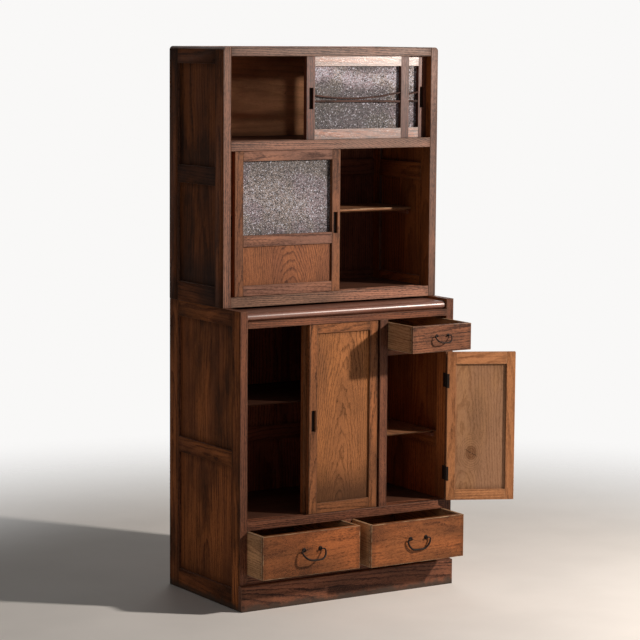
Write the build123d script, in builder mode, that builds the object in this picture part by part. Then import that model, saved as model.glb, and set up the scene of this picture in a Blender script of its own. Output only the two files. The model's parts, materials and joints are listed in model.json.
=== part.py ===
from build123d import *
import os

# Mizuya kitchen cabinet in two parts, in millimetres.
# The origin is on the floor, at the middle of the width, in the plane of the lower cabinet's front.
# X runs to the right, Y to the back and Z up. The doors and drawers stand partly open, as the
# *_open values below say; every moving piece is drawn closed and then shifted or turned by them.

# ---------------------------------------------------------------- driving dimensions
width = 833.0
lower_depth = 469.0
lower_height = 978.0
total_height = 1818.0
setback = 110.0

post_width = 28.0
lower_front_post = 53.0
lower_rear_post = 61.0
upper_front_post = 55.0
upper_rear_post = 55.0
side_panel_thickness = 7.0
panel_tuck = 6.0
shoulder = 0.15
fit = 0.1
overshoot = 1.0
near = 0.1
top_rounding = 13.0

back_thickness = 18.0
back_inset = 2.0
back_panel_thickness = 6.0
muntin_half = 15.0

plinth_height = 85.0
plinth_proud = 12.0
plinth_notch = 8.0
plinth_chamfer = 2.0
bottom_rail = (plinth_height, 118.0)
sill_rail = (263.0, 293.0)
head_rail = (921.5, 944.0)
small_drawer_rail = (801.0, 822.0)
rail_depth = 50.0
bottom_rail_depth = 30.0
divider_board_inset = 9.0
divider_left = 121.0
divider_right = 151.5
drawer_post_left = -15.0
drawer_post_right = 15.0

counter_thickness = 26.0
counter_setback = 6.0
board_thickness = 12.0
shelf_setback = 55.0
left_shelf_top = 666.0
right_shelf_top = 522.5
bay_shelf_thickness = 10.0
main_shelf_top = 1274.0
main_shelf_front = 220.0

upper_bottom_rail = (lower_height, 1012.0)
upper_middle_rail = (1484.0, 1516.0)
upper_top_rail = (1788.5, total_height)
upper_rail_depth = 52.0

door_gap = 3.0
door_setback = 5.0
upper_door_thickness = 19.0
upper_door_width = 403.2
bay_door_thickness = 17.0
bay_door_width = 267.5
stile_width = 31.5
groove_width = 10.0
tongue_width = 9.0
groove_depth = 3.0
head_groove_depth = 7.0
tongue_drop = 2.5
tongue_rise = 5.5
glass_inset = 14.0
glass_thickness = 3.0
panel_inset = 6.5
door_panel_thickness = 6.0
pull_length = 70.0
pull_width = 16.0
pull_depth = 9.0
pull_from_edge = 17.5
door_rub = 0.8
door_play = 0.2

drawer_front_thickness = 18.0
drawer_lip = 7.5
drawer_side = 10.0
drawer_bottom_thickness = 6.0
drawer_length = 415.0
drawer_clearance = 1.2
drawer_lift = 0.8
drawer_head_room = 1.5
small_drawer_top = 912.0
drawer_back_drop = 8.0
bottom_rise = 2.0
bottom_tuck = 4.0

runner_height = 20.0
runner_width = 22.0
middle_runner_half = 26.0
guide_half = 12.0
batten = 12.0
batten_setback = 10.0
top_board_drop = 2.0
top_back_thickness = 7.0

hinge_heights = (385.0, 702.0)
hinge_height = 48.0
leaf_thickness = 2.0
leaf_seat = 1.0
leaf_depth = 15.0
leaf_return = 7.5
knuckle_radius = 3.0
knuckle_gap = 0.4
knuckle_room = 0.6
pin_radius = 1.2
pin_clearance = 0.05

# how far each piece stands from its closed place
top_left_door_open = 287.7
main_right_door_open = -355.8
bay_left_door_open = 236.0
bay_right_door_open = -15.5
left_drawer_open = 98.0
right_drawer_open = 117.0
small_drawer_open = 144.0
hinged_door_open = 153.6

# ---------------------------------------------------------------- places worked out from them
left = -width / 2
right = width / 2
inner_left = left + post_width
inner_right = right - post_width
back = lower_depth
back_face = back - back_inset - back_thickness
panel_middle = post_width / 2

os.makedirs("parts", exist_ok=True)


def write(node, name):
    """Labels a finished node and writes it under its own name."""
    node.part.label = name
    export_step(node.part, f"parts/{name}.step")


def board(x, y, z, mode=Mode.ADD):
    """A straight board between two values on each axis, or a cut of that size."""
    with BuildSketch(Plane.XY.offset(z[0])) as outline:
        with Locations(((x[0] + x[1]) / 2, (y[0] + y[1]) / 2)):
            Rectangle(x[1] - x[0], y[1] - y[0])
    extrude(outline.sketch, amount=z[1] - z[0], mode=mode)


# ---------------------------------------------------------------- side frames and their panels
def side_frame(x, front, posts, rails):
    """Front and rear post of one side with the rails between them, grooved for thin panels."""
    bottom, top = rails[0][0], rails[-1][1]
    front_post = (front, front + posts[0])
    rear_post = (back - posts[1], back)
    for post in (front_post, rear_post):
        board(x, post, (bottom, top))
    between = (front_post[1] + shoulder, rear_post[0] - shoulder)
    for rail in rails:
        board(x, between, rail)
    middle = (x[0] + x[1]) / 2
    groove = (middle - side_panel_thickness / 2 - fit, middle + side_panel_thickness / 2 + fit)
    for low, high in zip(rails, rails[1:]):
        board(
            groove,
            (front_post[1] - panel_tuck - fit, rear_post[0] + panel_tuck + fit),
            (low[1] - panel_tuck - fit, high[0] + panel_tuck + fit),
            mode=Mode.SUBTRACT,
        )


def side_panel(middle, front, posts, low, high):
    """One thin panel standing in the grooves of a side frame."""
    board(
        (middle - side_panel_thickness / 2, middle + side_panel_thickness / 2),
        (front + posts[0] - panel_tuck, back - posts[1] + panel_tuck),
        (low[1] - panel_tuck, high[0] + panel_tuck),
    )


lower_posts = (lower_front_post, lower_rear_post)
upper_posts = (upper_front_post, upper_rear_post)
lower_side_rails = [(0.0, 68.0), (467.0, 519.0), (926.0, lower_height)]
upper_side_rails = [(lower_height, 1042.0), (1371.0, 1429.0), (1763.0, total_height)]
left_side = (left, inner_left)
right_side = (inner_right, right)

for side_name, side in (("left", left_side), ("right", right_side)):
    with BuildPart() as lower_frame:
        side_frame(side, 0.0, lower_posts, lower_side_rails)
        # the front post is notched over the plinth board
        board(side, (-overshoot, plinth_notch), (-overshoot, plinth_height), mode=Mode.SUBTRACT)
        if side_name == "right":
            # shallow seats for the fixed hinge leaves, in the post's inner face
            for middle in hinge_heights:
                half = hinge_height / 2 + fit
                board(
                    (inner_right - overshoot, inner_right + leaf_seat),
                    (-overshoot, leaf_depth + fit),
                    (middle - half, middle + half),
                    mode=Mode.SUBTRACT,
                )
    write(lower_frame, f"lower_{side_name}_frame")

    with BuildPart() as upper_frame:
        side_frame(side, setback, upper_posts, upper_side_rails)
        outer = left if side_name == "left" else right
        top_edges = (
            upper_frame.edges()
            .filter_by(Axis.Y)
            .filter_by_position(Axis.Z, total_height - near, total_height + near)
            .filter_by_position(Axis.X, outer - near, outer + near)
        )
        fillet(top_edges, radius=top_rounding)
    write(upper_frame, f"upper_{side_name}_frame")

with BuildPart() as lower_side_panels:
    for side in (left_side, right_side):
        for low, high in zip(lower_side_rails, lower_side_rails[1:]):
            side_panel(side[0] + panel_middle, 0.0, lower_posts, low, high)
write(lower_side_panels, "lower_side_panels")

with BuildPart() as upper_side_panels:
    for side in (left_side, right_side):
        for low, high in zip(upper_side_rails, upper_side_rails[1:]):
            side_panel(side[0] + panel_middle, setback, upper_posts, low, high)
write(upper_side_panels, "upper_side_panels")


# ---------------------------------------------------------------- framed backs
def back_panel_depth(grow):
    """Front and rear face of the thin panels in a back, or of the groove that holds them."""
    middle = back_face + back_thickness / 2
    return (middle - back_panel_thickness / 2 - grow, middle + back_panel_thickness / 2 + grow)


def back_rails(rails):
    """Rails and a middle muntin of one back, grooved for its panels."""
    depth = (back_face, back - back_inset)
    groove = back_panel_depth(fit)
    for rail in rails:
        board((inner_left, inner_right), depth, rail)
    for low, high in zip(rails, rails[1:]):
        board((-muntin_half, muntin_half), depth, (low[1] + shoulder, high[0] - shoulder))
        board(
            (inner_left, inner_right),
            groove,
            (low[1] - panel_tuck - fit, high[0] + panel_tuck + fit),
            mode=Mode.SUBTRACT,
        )


def back_panels(rails):
    """The thin panels held between the rails of one back."""
    for low, high in zip(rails, rails[1:]):
        board(
            (inner_left + fit, inner_right - fit),
            back_panel_depth(0.0),
            (low[1] - panel_tuck, high[0] + panel_tuck),
        )


for part_name, rails in (("lower", lower_side_rails), ("upper", upper_side_rails)):
    with BuildPart() as framed_back:
        back_rails(rails)
    write(framed_back, f"{part_name}_back_rails")
    with BuildPart() as filled_back:
        back_panels(rails)
    write(filled_back, f"{part_name}_back_panels")

# ---------------------------------------------------------------- lower cabinet, front members
with BuildPart() as plinth_board:
    board((left, right), (-plinth_proud, plinth_notch), (0.0, plinth_height))
    upper_front = plinth_board.edges().filter_by(Axis.X).group_by(Axis.Z)[-1].sort_by(Axis.Y)[0]
    chamfer(upper_front, length=plinth_chamfer)
write(plinth_board, "plinth_board")

with BuildPart() as bottom_front_rail:
    board((inner_left, inner_right), (0.0, bottom_rail_depth), bottom_rail)
write(bottom_front_rail, "bottom_front_rail")


def cut_grooves(doors, low, high):
    """Two door grooves side by side, centred under or over the two doors of a pair."""
    for front in doors["fronts"]:
        middle = front + doors["thickness"] / 2
        groove = (middle - groove_width / 2, middle + groove_width / 2)
        board(doors["opening"], groove, (low, high), mode=Mode.SUBTRACT)


bay_door_fronts = (door_setback, door_setback + bay_door_thickness + door_gap)
upper_door_fronts = (
    setback + door_setback,
    setback + door_setback + upper_door_thickness + door_gap,
)
bay_pair = {
    "opening": (inner_left, divider_left),
    "fronts": bay_door_fronts,
    "thickness": bay_door_thickness,
}
upper_pair = {
    "opening": (inner_left, inner_right),
    "fronts": upper_door_fronts,
    "thickness": upper_door_thickness,
}

with BuildPart() as bay_sill_rail:
    board((inner_left, inner_right), (0.0, rail_depth), sill_rail)
    cut_grooves(bay_pair, sill_rail[1] - groove_depth, sill_rail[1])
write(bay_sill_rail, "bay_sill_rail")

with BuildPart() as under_counter_rail:
    board((inner_left, inner_right), (0.0, rail_depth), head_rail)
    cut_grooves(bay_pair, head_rail[0], head_rail[0] + head_groove_depth)
write(under_counter_rail, "under_counter_rail")

with BuildPart() as divider_post:
    board((divider_left, divider_right), (0.0, rail_depth), (sill_rail[1], head_rail[0]))
write(divider_post, "divider_post")

divider_board_left = divider_left + divider_board_inset
divider_board_right = divider_right - divider_board_inset
with BuildPart() as divider_board:
    board((divider_board_left, divider_board_right), (rail_depth, back_face), (sill_rail[1], head_rail[1]))
write(divider_board, "divider_board")

with BuildPart() as top_drawer_rail:
    board((divider_right, inner_right), (0.0, rail_depth), small_drawer_rail)
write(top_drawer_rail, "top_drawer_rail")

with BuildPart() as drawer_post:
    post_heights = (bottom_rail[1], sill_rail[0])
    board((drawer_post_left, drawer_post_right), (0.0, bottom_rail_depth), post_heights)
write(drawer_post, "drawer_post")

# ---------------------------------------------------------------- lower cabinet, boards inside
with BuildPart() as bay_floor:
    board((inner_left, inner_right), (rail_depth, back_face), (sill_rail[1] - board_thickness, sill_rail[1]))
write(bay_floor, "bay_floor")

with BuildPart() as left_bay_shelf:
    board(
        (inner_left, divider_board_left),
        (shelf_setback, back_face),
        (left_shelf_top - bay_shelf_thickness, left_shelf_top),
    )
write(left_bay_shelf, "left_bay_shelf")

with BuildPart() as right_bay_shelf:
    board(
        (divider_board_right, inner_right),
        (shelf_setback, back_face),
        (right_shelf_top - bay_shelf_thickness, right_shelf_top),
    )
write(right_bay_shelf, "right_bay_shelf")

with BuildPart() as shelf_battens:
    left_bay_under = left_shelf_top - bay_shelf_thickness
    right_bay_under = right_shelf_top - bay_shelf_thickness
    main_under = main_shelf_top - board_thickness
    for under, front, ends in (
        (left_bay_under, shelf_setback + batten_setback, (inner_left, divider_board_left)),
        (right_bay_under, shelf_setback + batten_setback, (divider_board_right, inner_right)),
        (main_under, main_shelf_front + batten_setback, (inner_left, inner_right)),
    ):
        board((ends[0], ends[0] + batten), (front, back_face), (under - batten, under))
        board((ends[1] - batten, ends[1]), (front, back_face), (under - batten, under))
write(shelf_battens, "shelf_battens")

with BuildPart() as drawer_runners:
    runner_top = bottom_rail[1]
    for x in (
        (inner_left, inner_left + runner_width),
        (-middle_runner_half, middle_runner_half),
        (inner_right - runner_width, inner_right),
    ):
        board(x, (bottom_rail_depth, back_face), (runner_top - runner_height, runner_top))
    # the middle guide keeps the two wide drawers apart behind their post
    guide_bottom = runner_top + shoulder
    board(
        (-guide_half, guide_half),
        (bottom_rail_depth + shoulder, back_face),
        (guide_bottom, guide_bottom + runner_width),
    )
    runner_top = small_drawer_rail[1]
    for x in (
        (divider_board_right, divider_board_right + runner_width),
        (inner_right - runner_width, inner_right),
    ):
        board(x, (rail_depth, back_face), (runner_top - runner_height, runner_top))
write(drawer_runners, "drawer_runners")

# ---------------------------------------------------------------- counter with its half-round nosing
counter_bottom = head_rail[1]
counter_top = counter_bottom + counter_thickness
nose = counter_thickness / 2
with BuildPart() as counter_board:
    with BuildSketch(Plane.YZ.offset(inner_left)):
        with BuildLine():
            Line((counter_setback + nose, counter_bottom), (back_face, counter_bottom))
            Line((back_face, counter_bottom), (back_face, counter_top))
            Line((back_face, counter_top), (counter_setback + nose, counter_top))
            ThreePointArc(
                (counter_setback + nose, counter_top),
                (counter_setback, counter_bottom + nose),
                (counter_setback + nose, counter_bottom),
            )
        make_face()
    extrude(amount=inner_right - inner_left)
write(counter_board, "counter_board")

# ---------------------------------------------------------------- upper cabinet, rails and boards
upper_opening = (inner_left, inner_right)
behind_rail = setback + upper_rail_depth
rail_y = (setback, behind_rail)
inner_depth = (behind_rail, back_face)


def inner_board(top):
    """A board the full width of the upper cabinet, behind its front rails."""
    board(upper_opening, inner_depth, (top - board_thickness, top))


with BuildPart() as top_front_rail:
    board(upper_opening, rail_y, upper_top_rail)
    cut_grooves(upper_pair, upper_top_rail[0], upper_top_rail[0] + head_groove_depth)
write(top_front_rail, "top_front_rail")

with BuildPart() as middle_rail:
    board(upper_opening, rail_y, upper_middle_rail)
    cut_grooves(upper_pair, upper_middle_rail[0], upper_middle_rail[0] + head_groove_depth)
    cut_grooves(upper_pair, upper_middle_rail[1] - groove_depth, upper_middle_rail[1])
write(middle_rail, "middle_rail")

with BuildPart() as upper_front_rail:
    board(upper_opening, rail_y, upper_bottom_rail)
    cut_grooves(upper_pair, upper_bottom_rail[1] - groove_depth, upper_bottom_rail[1])
write(upper_front_rail, "upper_front_rail")

with BuildPart() as top_board:
    inner_board(total_height - top_board_drop)
write(top_board, "top_board")

with BuildPart() as middle_board:
    inner_board(upper_middle_rail[1])
write(middle_board, "middle_board")

with BuildPart() as upper_floor:
    inner_board(upper_bottom_rail[1])
write(upper_floor, "upper_floor")

with BuildPart() as top_back_board:
    board(
        upper_opening,
        (back_face - top_back_thickness, back_face),
        (upper_middle_rail[1], total_height - board_thickness - top_board_drop),
    )
write(top_back_board, "top_back_board")

with BuildPart() as main_shelf:
    board(upper_opening, (main_shelf_front, back_face), (main_shelf_top - board_thickness, main_shelf_top))
write(main_shelf, "main_shelf")


# ---------------------------------------------------------------- sliding doors
def sliding_frame(door, pull_on_left):
    """Stiles and rails of a sliding door with a tongue above and below and a finger pull.

    door holds its left edge, width, front, thickness, the clear opening between sill and head,
    the rails from the bottom up and the height of its pull. The first and last rail run on into
    the tongues.
    """
    front, rear = door["front"], door["front"] + door["thickness"]
    door_left, door_right = door["left"], door["left"] + door["width"]
    low = door["opening"][0] - tongue_drop
    high = door["opening"][1] + tongue_rise
    for stile in ((door_left, door_left + stile_width), (door_right - stile_width, door_right)):
        board(stile, (front, rear), (low, high))
    between = (door_left + stile_width + shoulder, door_right - stile_width - shoulder)
    rails = door["rails"]
    for rail in [(low, rails[0][1]), *rails[1:-1], (rails[-1][0], high)]:
        board(between, (front, rear), rail)
    # rabbets leave the tongues
    cheek = (door["thickness"] - tongue_width) / 2
    for y in ((front, front + cheek), (rear - cheek, rear)):
        board((door_left, door_right), y, (low, door["opening"][0] + door_rub), mode=Mode.SUBTRACT)
        board((door_left, door_right), y, (door["opening"][1] - door_rub, high), mode=Mode.SUBTRACT)
    # finger pull, a straight chiselled recess
    pull_x = door_left + pull_from_edge if pull_on_left else door_right - pull_from_edge
    with BuildSketch(Plane.XZ.offset(-front)) as pull:
        with Locations((pull_x, door["pull_height"])):
            Rectangle(pull_width, pull_length)
    extrude(pull.sketch, amount=-pull_depth, mode=Mode.SUBTRACT)


def door_field(door, low_rail, high_rail):
    """Width and height of the opening between the stiles and two rails of a sliding door."""
    x = (door["left"] + stile_width, door["left"] + door["width"] - stile_width)
    return x, (door["rails"][low_rail][1], door["rails"][high_rail][0])


def sheet_between(x, y, z):
    """A sheet that fills an opening and is tucked into the members round it."""
    board((x[0] - panel_tuck, x[1] + panel_tuck), y, (z[0] - panel_tuck, z[1] + panel_tuck))


def groove_round(x, y, z):
    """The groove for such a sheet, a little larger all round."""
    grow = panel_tuck + fit
    board(
        (x[0] - grow, x[1] + grow),
        (y[0] - fit, y[1] + fit),
        (z[0] - grow, z[1] + grow),
        mode=Mode.SUBTRACT,
    )


def curved_bar(x, heights, y, thickness):
    """A thin bar bent in one arc across the glass, cut off square between the stiles."""
    middle_x = (x[0] + x[1]) / 2
    with BuildSketch(Plane.XZ.offset(-y[0])) as outline:
        with BuildLine():
            bend = ThreePointArc((x[0], heights[0]), (middle_x, heights[1]), (x[1], heights[2]))
            Line(bend @ 0, bend @ 0 - (bend % 0) * thickness)
            Line(bend @ 1, bend @ 1 + (bend % 1) * thickness)
        trace(line_width=thickness)
        with Locations((middle_x, heights[1])):
            Rectangle(x[1] - x[0], x[1] - x[0], mode=Mode.INTERSECT)
    extrude(outline.sketch, amount=y[0] - y[1])


bay_height = (sill_rail[1], head_rail[0])
main_height = (upper_bottom_rail[1], upper_middle_rail[0])
top_height = (upper_middle_rail[1], upper_top_rail[0])

bay_rails = [(bay_height[0], 328.0), (890.0, bay_height[1])]
main_rails = [(main_height[0], 1047.0), (1173.0, 1210.0), (1450.5, main_height[1])]
top_rails = [(top_height[0], 1550.0), (1756.0, top_height[1])]
bay_pull_height = 602.0
main_pull_height = 1241.0
top_pull_height = 1651.0

# the bars across the top doors: height at the left end, in the middle and at the right end, and thickness
door_bars = (
    ((1662.0, 1650.2, 1668.5), 4.6),
    ((1641.5, 1641.0, 1638.3), 6.5),
)
bar_inset = 2.0
bar_depth = 9.0

# closed places: the left door of a pair stands against the left post, the right one against the right
closed_left = inner_left + door_play
upper_closed_right = inner_right - door_play - upper_door_width
bay_closed_right = divider_left - door_play - bay_door_width


def door_of_pair(pair, track, left_edge, opening, rails, pull_height):
    """The values of one sliding door; track 0 is the front groove and 1 the rear one."""
    return {
        "left": left_edge,
        "width": bay_door_width if pair is bay_pair else upper_door_width,
        "front": pair["fronts"][track],
        "thickness": pair["thickness"],
        "opening": opening,
        "rails": rails,
        "pull_height": pull_height,
    }


for name, left_edge, track, pull_on_left in (
    ("bay_left_door", closed_left + bay_left_door_open, 0, True),
    ("bay_right_door", bay_closed_right + bay_right_door_open, 1, False),
):
    door = door_of_pair(bay_pair, track, left_edge, bay_height, bay_rails, bay_pull_height)
    field_x, field_z = door_field(door, 0, 1)
    panel_y = (door["front"] + panel_inset, door["front"] + panel_inset + door_panel_thickness)
    with BuildPart() as bay_door:
        sliding_frame(door, pull_on_left)
        groove_round(field_x, panel_y, field_z)
        sheet_between(field_x, panel_y, field_z)
    write(bay_door, name)

for name, left_edge, track, pull_on_left in (
    ("main_left_door", closed_left, 1, True),
    ("main_right_door", upper_closed_right + main_right_door_open, 0, False),
):
    door = door_of_pair(upper_pair, track, left_edge, main_height, main_rails, main_pull_height)
    field_x, panel_z = door_field(door, 0, 1)
    field_x, glass_z = door_field(door, 1, 2)
    panel_y = (door["front"] + panel_inset, door["front"] + panel_inset + door_panel_thickness)
    glass_y = (door["front"] + glass_inset, door["front"] + glass_inset + glass_thickness)
    with BuildPart() as main_door:
        sliding_frame(door, pull_on_left)
        groove_round(field_x, glass_y, glass_z)
        groove_round(field_x, panel_y, panel_z)
        sheet_between(field_x, panel_y, panel_z)
    write(main_door, name)
    with BuildPart() as main_glass:
        sheet_between(field_x, glass_y, glass_z)
    write(main_glass, f"{name}_glass")

for name, left_edge, track, pull_on_left in (
    ("top_left_door", closed_left + top_left_door_open, 0, True),
    ("top_right_door", upper_closed_right, 1, False),
):
    door = door_of_pair(upper_pair, track, left_edge, top_height, top_rails, top_pull_height)
    field_x, glass_z = door_field(door, 0, 1)
    glass_y = (door["front"] + glass_inset, door["front"] + glass_inset + glass_thickness)
    bar_x = (field_x[0] + shoulder, field_x[1] - shoulder)
    bar_y = (door["front"] + bar_inset, door["front"] + bar_inset + bar_depth)
    with BuildPart() as top_door:
        sliding_frame(door, pull_on_left)
        groove_round(field_x, glass_y, glass_z)
        for bar_line, bar_thickness in door_bars:
            curved_bar(bar_x, bar_line, bar_y, bar_thickness)
    write(top_door, name)
    with BuildPart() as top_glass:
        sheet_between(field_x, glass_y, glass_z)
    write(top_glass, f"{name}_glass")

# ---------------------------------------------------------------- hinged door, drawn closed, then turned
hinge_gap = 2.4
free_gap = 2.0
end_gap = 1.0
hinge_x = inner_right - hinge_gap / 2
hinge_y = -3.4
door_edges = (divider_right + free_gap, inner_right - hinge_gap)
door_faces = (1.0, 16.5)
door_heights = (sill_rail[1] + end_gap, small_drawer_rail[0] - end_gap)
door_stile = 30.0
hinged_rails = [(door_heights[0], 330.0), (759.0, door_heights[1])]
hinged_sheet = (5.0, 10.5)
swing = Axis((hinge_x, hinge_y, 0), (0, 0, 1))


def write_turned(node, name):
    """Turns a node of the hinged door from closed to its open place and writes it."""
    turned = node.part.rotate(swing, hinged_door_open)
    turned.label = name
    export_step(turned, f"parts/{name}.step")


def hinge_seats(x, y):
    """Cuts the seats of both hinges, a little taller than the leaves."""
    for middle in hinge_heights:
        half = hinge_height / 2 + fit
        board(x, y, (middle - half, middle + half), mode=Mode.SUBTRACT)


with BuildPart() as hinged_door:
    for stile in (
        (door_edges[0], door_edges[0] + door_stile),
        (door_edges[1] - door_stile, door_edges[1]),
    ):
        board(stile, door_faces, door_heights)
    between = (door_edges[0] + door_stile, door_edges[1] - door_stile)
    for rail in hinged_rails:
        board((between[0] + shoulder, between[1] - shoulder), door_faces, rail)
    field_z = (hinged_rails[0][1], hinged_rails[1][0])
    groove_round(between, hinged_sheet, field_z)
    # seats for the moving hinge leaves: along the edge, and a shallow one round on the inner face
    past_edge = door_edges[1] + overshoot
    past_face = door_faces[1] + overshoot
    hinge_seats((door_edges[1] - leaf_seat, past_edge), (0.0, past_face))
    hinge_seats((door_edges[1] - leaf_return - fit, past_edge), (door_faces[1] - leaf_seat, past_face))
    sheet_between(between, hinged_sheet, field_z)
write_turned(hinged_door, "hinged_door")

# ---------------------------------------------------------------- two butt hinges of three knuckles
knuckle = hinge_height / 3
fixed_leaf_x = (inner_right - leaf_thickness + leaf_seat, inner_right + leaf_seat)
moving_leaf_x = (door_edges[1] - leaf_seat, door_edges[1] - leaf_seat + leaf_thickness)


def barrel(low, high, bore=0.0):
    """One knuckle about the hinge's axis, drilled if bore is given."""
    with BuildSketch(Plane.XY.offset(low)) as ring:
        with Locations((hinge_x, hinge_y)):
            Circle(knuckle_radius)
            if bore:
                Circle(bore, mode=Mode.SUBTRACT)
    extrude(ring.sketch, amount=high - low)


with BuildPart() as post_hinges:
    for middle in hinge_heights:
        low = middle - hinge_height / 2
        board(fixed_leaf_x, (0.0, leaf_depth), (low, low + hinge_height))
        for start in (low, low + 2 * knuckle):
            barrel(start, start + knuckle - knuckle_gap)
            # the leaf reaches forward into its own knuckles only
            board(fixed_leaf_x, (hinge_y, 0.0), (start, start + knuckle - knuckle_gap))
        # the pin joins the two fixed knuckles through the moving one
        with BuildSketch(Plane.XY.offset(low + knuckle / 2)) as pin:
            with Locations((hinge_x, hinge_y)):
                Circle(pin_radius)
        extrude(pin.sketch, amount=2 * knuckle)
write(post_hinges, "post_hinges")

with BuildPart() as door_hinges:
    for middle in hinge_heights:
        low = middle - hinge_height / 2
        barrel(low + knuckle, low + 2 * knuckle - knuckle_gap, pin_radius + pin_clearance)
        tongue = (low + knuckle, low + 2 * knuckle - knuckle_gap)
        board(moving_leaf_x, (hinge_y + pin_radius + knuckle_room, door_faces[0]), tongue)
        board(moving_leaf_x, (door_faces[0], door_faces[1] - leaf_seat), (low, low + hinge_height))
        # the leaf turns round the edge and lies on the inner face
        board(
            (door_edges[1] - leaf_return, moving_leaf_x[1]),
            (door_faces[1] - leaf_seat, door_faces[1] - leaf_seat + leaf_thickness),
            (low, low + hinge_height),
        )
write_turned(door_hinges, "door_hinges")

# small forged pull near the free edge, from the door's face outwards: plate, stem and cap, each with its
# radius, its distance from the face and its length; the cap is bevelled round its outer face
round_sides = 24
plate_radius = 8.0
cap_bevel = 1.6
pull_stages = (
    (plate_radius, 0.0, 1.2),
    (2.6, 1.2, 7.8),
    (5.0, 9.0, 4.2),
)
pull_place = (door_edges[0] + plate_radius, door_faces[0], (door_heights[0] + door_heights[1]) / 2)
pull_face = Plane(pull_place, x_dir=(1, 0, 0), z_dir=(0, -1, 0))

with BuildPart() as door_pull:
    for radius, distance, length in pull_stages:
        with BuildSketch(pull_face.offset(distance)):
            RegularPolygon(radius, round_sides)
        extrude(amount=length)
    outer_face = door_pull.faces().sort_by(Axis.Y)[0]
    chamfer(outer_face.edges(), length=cap_bevel)
write_turned(door_pull, "door_pull")


# ---------------------------------------------------------------- drawers, each with its iron handle
def bottom_board(x, z, front, grow):
    """Extent of a drawer's bottom board, or of the grooves that hold it when grown by the fit."""
    inner = (x[0] + drawer_side, x[1] - drawer_side)
    rise = z[0] + bottom_rise
    return (
        (inner[0] - bottom_tuck - grow, inner[1] + bottom_tuck + grow),
        (front + drawer_front_thickness - bottom_tuck - grow, front + drawer_length + grow),
        (rise - grow, rise + drawer_bottom_thickness + grow),
    )


def drawer_box(x, z, front):
    """Sides, back and bottom behind a drawer front."""
    rear = front + drawer_length
    inner = (x[0] + drawer_side, x[1] - drawer_side)
    for side in ((x[0], inner[0]), (inner[1], x[1])):
        board(side, (front + drawer_lip + shoulder, rear), z)
    over_bottom = z[0] + bottom_rise + drawer_bottom_thickness + shoulder
    back_board = (rear - drawer_side, rear)
    board((inner[0] + shoulder, inner[1] - shoulder), back_board, (over_bottom, z[1] - drawer_back_drop))
    board(*bottom_board(x, z, front, fit), mode=Mode.SUBTRACT)
    board(*bottom_board(x, z, front, 0.0))


def drawer_front(x, z, front):
    """Front board, rabbeted at both ends so that the sides lap behind a thin lip."""
    rear = front + drawer_front_thickness
    board(x, (front, rear), z)
    lap = drawer_side + shoulder
    for end in ((x[0], x[0] + lap), (x[1] - lap, x[1])):
        board(end, (front + drawer_lip, rear), z, mode=Mode.SUBTRACT)
    board(*bottom_board(x, z, front, fit), mode=Mode.SUBTRACT)


# drop handle of a wide drawer: places are from the middle of its two eyes; the small drawer's is a
# smaller one of the same shape
post_spread = 31.0
eye_reach = 8.0
shank_radius = 2.6
bail_radius = 2.3
eye_radius = 4.6
eye_thickness = 4.8
washer_radius = 7.5
washer_thickness = 1.4
forged_sides = 6
bail_drop = 36.5
bail_corners = (
    (25.0, 0.0),
    (44.0, 0.0),
    (41.0, -24.0),
    (16.0, -bail_drop),
    (-16.0, -bail_drop),
    (-41.0, -24.0),
    (-44.0, 0.0),
    (-25.0, 0.0),
)
bail_bends = [8.5, 26.0, 56.0, 56.0, 26.0, 8.5]
small_handle_size = 0.72


def handle_posts(middle, height, front, size):
    """Two eye posts with round washers; each eye is drilled across for the bail's end."""
    eye_y = front - eye_reach * size
    for side in (-1, 1):
        place = middle + side * post_spread * size
        with BuildSketch(Plane.XZ.offset(-front)) as washer:
            with Locations((place, height)):
                RegularPolygon(washer_radius * size, round_sides)
        extrude(washer.sketch, amount=washer_thickness * size)
        with BuildSketch(Plane.XZ.offset(-front)) as shank:
            with Locations((place, height)):
                RegularPolygon(shank_radius * size, forged_sides)
        extrude(shank.sketch, amount=eye_reach * size)
        with BuildSketch(Plane.YZ.offset(place - eye_thickness * size / 2)) as eye:
            with Locations((eye_y, height)):
                RegularPolygon(eye_radius * size, 2 * forged_sides)
        extrude(eye.sketch, amount=eye_thickness * size)
        with BuildSketch(Plane.YZ.offset(place - shank_radius * size - overshoot)) as hole:
            with Locations((eye_y, height)):
                Circle(bail_radius * size + pin_clearance)
        extrude(hole.sketch, amount=2 * (shank_radius * size + overshoot), mode=Mode.SUBTRACT)


def handle_bail(middle, height, front, size, lift):
    """Six-sided bar bent like a young bracken frond, its ends turned in through the eyes.

    It is lifted away from the drawer by an angle about the line of its eyes.
    """
    origin = (middle, front - eye_reach * size, height)
    plane = Plane(origin, x_dir=(1, 0, 0), z_dir=(0, -1, 0)).rotated((-lift, 0, 0))
    with BuildLine(plane) as outline:
        FilletPolyline(
            *[(x * size, z * size) for x, z in bail_corners],
            radius=[bend * size for bend in bail_bends],
        )
    path = outline.line
    with BuildSketch(Plane(path @ 0, x_dir=plane.y_dir, z_dir=path % 0)) as section:
        RegularPolygon(bail_radius * size, forged_sides)
    sweep(section.sketch, path=path)


left_drawer_x = (inner_left + drawer_clearance, drawer_post_left - drawer_clearance)
right_drawer_x = (drawer_post_right + drawer_clearance, inner_right - drawer_clearance)
small_drawer_x = (divider_right + drawer_clearance, inner_right - drawer_clearance)
wide_drawer_z = (bottom_rail[1] + drawer_lift, sill_rail[0] - drawer_head_room)
small_drawer_z = (small_drawer_rail[1] + drawer_lift, small_drawer_top)

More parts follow.
